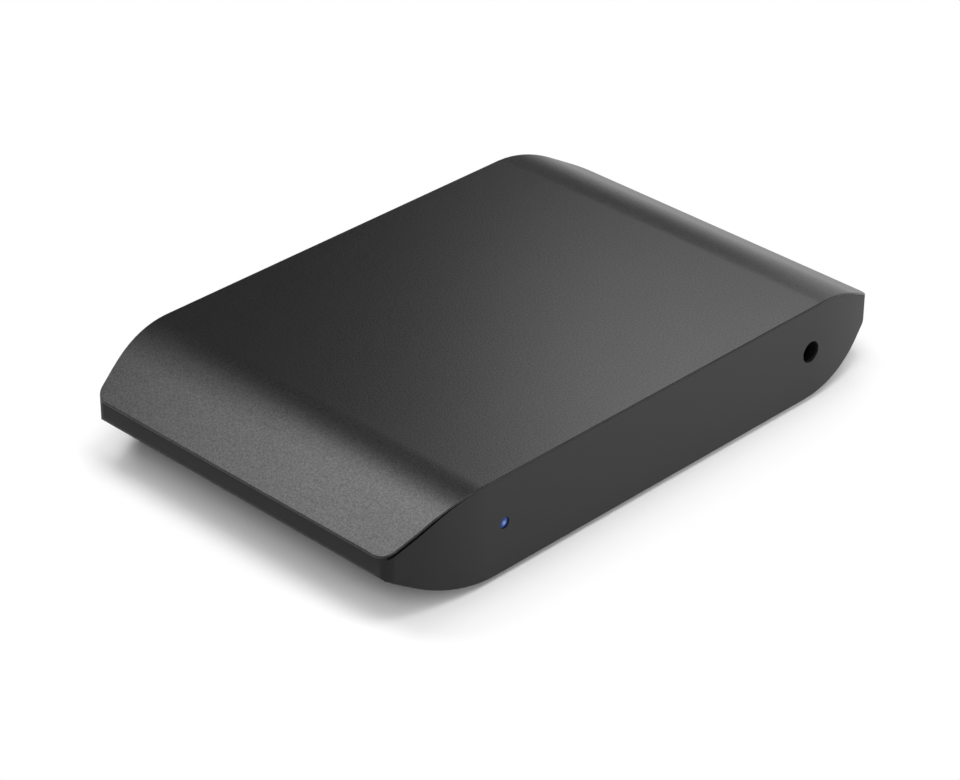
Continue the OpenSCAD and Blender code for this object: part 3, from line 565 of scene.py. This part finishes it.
def make_camera():
    """A camera at the place, angle and focal length fitted to the photograph."""
    data = bpy.data.cameras.new("photo_camera")
    data.lens = LENS_MM
    data.sensor_width = SENSOR_MM
    data.clip_start = NEAR_CLIP
    data.clip_end = FAR_CLIP
    camera = bpy.data.objects.new("photo_camera", data)
    axes = camera_axes(VIEW_AZIMUTH, VIEW_ELEVATION, VIEW_ROLL)
    camera.matrix_world = placed(axes, VIEW_TARGET + axes[2] * VIEW_DISTANCE)
    bpy.context.scene.collection.objects.link(camera)
    bpy.context.scene.camera = camera


def floor_white():
    """White card with the object's shadow, pure white to the camera away from it and clear from below."""
    finish = Finish("floor_white", colour=grey(FLOOR_WHITE), rough=1.0, specular=0.0)
    tree = finish.tree
    reach = (cad_high - cad_low) / 2
    shifted = finish.vector("SUBTRACT", finish.place, SHADE_SHIFT)
    outside = finish.vector("SUBTRACT", finish.vector("ABSOLUTE", shifted), reach)
    distance = finish.length(finish.vector("MAXIMUM", outside, Vector()))
    away = finish.spread(distance, 0.0, 1.0, SHADE_NEAR, SHADE_FAR)
    path = tree.nodes.new("ShaderNodeLightPath")
    seen = finish.combine("ADD", path.outputs["Is Camera Ray"], path.outputs["Is Glossy Ray"])
    seen = finish.combine("ADD", seen, path.outputs["Is Transmission Ray"])
    white = tree.nodes.new("ShaderNodeEmission")
    white.inputs["Color"].default_value = WHITE
    white.inputs["Strength"].default_value = 1.0
    mix = tree.nodes.new("ShaderNodeMixShader")
    tree.links.new(finish.combine("MULTIPLY", seen, away), mix.inputs["Fac"])
    tree.links.new(finish.shader.outputs["BSDF"], mix.inputs[1])
    tree.links.new(white.outputs["Emission"], mix.inputs[2])
    clear = tree.nodes.new("ShaderNodeBsdfTransparent")
    below = tree.nodes.new("ShaderNodeNewGeometry").outputs["Backfacing"]
    side = tree.nodes.new("ShaderNodeMixShader")
    tree.links.new(below, side.inputs["Fac"])
    tree.links.new(mix.outputs["Shader"], side.inputs[1])
    tree.links.new(clear.outputs["BSDF"], side.inputs[2])
    tree.links.new(side.outputs["Shader"], tree.nodes["Material Output"].inputs["Surface"])
    return finish.material


def make_floor():
    """A wide white floor, which lets the underside be seen from below."""
    bm = bmesh.new()
    bmesh.ops.create_grid(bm, x_segments=1, y_segments=1, size=FLOOR_SIZE / 2)
    mesh = bpy.data.meshes.new("floor")
    bm.to_mesh(mesh)
    bm.free()
    floor = bpy.data.objects.new("floor", mesh)
    bpy.context.scene.collection.objects.link(floor)
    mesh.materials.append(floor_white())
    return floor


def make_world():
    """Surroundings that light the object from all sides, and show pure white to the camera."""
    world = bpy.data.worlds.new("studio")
    world.use_nodes = True
    tree = world.node_tree
    direction = tree.nodes.new("ShaderNodeSeparateXYZ")
    tree.links.new(tree.nodes.new("ShaderNodeTexCoord").outputs["Generated"], direction.inputs["Vector"])
    wall = tree.nodes.new("ShaderNodeMapRange")
    wall.inputs["From Min"].default_value = 0.0
    wall.inputs["From Max"].default_value = WALL_TOP
    wall.inputs["To Min"].default_value = WALL_PALE
    wall.inputs["To Max"].default_value = CEILING_DARK
    tree.links.new(direction.outputs["Z"], wall.inputs["Value"])
    seen = tree.nodes.new("ShaderNodeMix")
    seen.inputs["B"].default_value = 1.0
    tree.links.new(tree.nodes.new("ShaderNodeLightPath").outputs["Is Camera Ray"], seen.inputs["Factor"])
    tree.links.new(wall.outputs["Result"], seen.inputs["A"])
    background = tree.nodes["Background"]
    background.inputs["Color"].default_value = WHITE
    tree.links.new(seen.outputs["Result"], background.inputs["Strength"])
    bpy.context.scene.world = world


def make_softbox(name, azimuth, elevation, distance, width, height, watts):
    """A rectangular lamp that the camera does not see."""
    data = bpy.data.lights.new(name, "AREA")
    data.shape = "RECTANGLE"
    data.size = width
    data.size_y = height
    data.energy = watts
    light = bpy.data.objects.new(name, data)
    axes = camera_axes(math.radians(azimuth), math.radians(elevation), 0.0)
    light.matrix_world = placed(axes, AIM + axes[2] * distance)
    light.visible_camera = False
    bpy.context.scene.collection.objects.link(light)
    return light


def collection_of(name, *pieces):
    """A collection that tells a light which pieces it reaches, or which ones block it."""
    collection = bpy.data.collections.new(name)
    for piece in pieces:
        collection.objects.link(piece)
    return collection


make_camera()
dress_nodes()
make_cover()
tub = make_tub()
for shell in SOCKET_SHELLS:
    make_socket_shell(shell)
for foot in foot_nodes():
    make_foot(foot)
floor = make_floor()
make_world()
for softbox in SOFTBOXES:
    make_softbox(*softbox)
for strip in LOW_STRIPS:
    make_softbox(*strip).light_linking.receiver_collection = collection_of("below_cover", tub, floor)
make_softbox(*UNDER_LIGHT).light_linking.blocker_collection = collection_of("above_floor", tub)
bpy.context.scene.view_settings.view_transform = "Standard"
